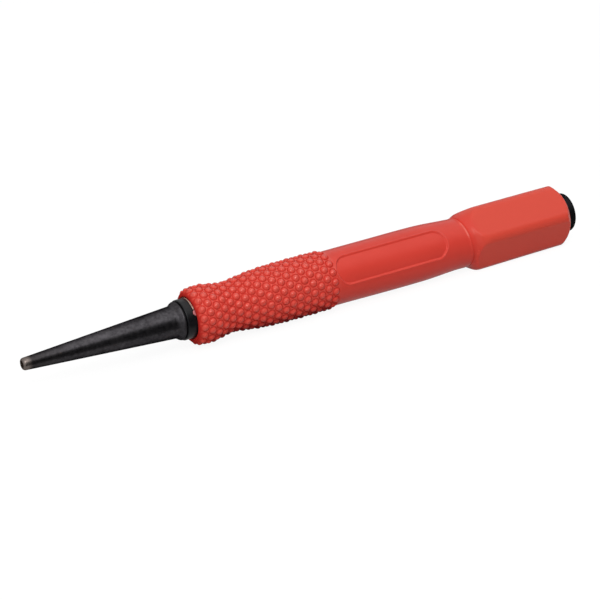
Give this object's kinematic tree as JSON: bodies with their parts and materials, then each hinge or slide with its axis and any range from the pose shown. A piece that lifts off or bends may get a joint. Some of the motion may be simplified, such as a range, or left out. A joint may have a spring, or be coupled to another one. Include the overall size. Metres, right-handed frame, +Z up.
{
  "type": "nail setter",
  "caption": "Nail setter: a long tapered steel punch with a cupped tip, a black ring at its shoulder and a nubbed red soft grip that ends in a flat-sided block in front of the struck head.",
  "frame": {"origin": "centre of the struck face, on the punch's axis", "axes": "+X along the punch from the tip to the struck face, +Z up with one flat of the rear block facing down, +Y to complete the right-handed frame"},
  "size_m": [0.146, 0.0148, 0.0147],
  "materials": {
    "steel": "dark oxide, satin",
    "collar": "matte",
    "grip": "satin soft plastic"
  },
  "bodies": {
    "root": {"punch": "steel", "front_collar": "collar", "grip_sleeve": "grip"}
  },
  "joints": []
}
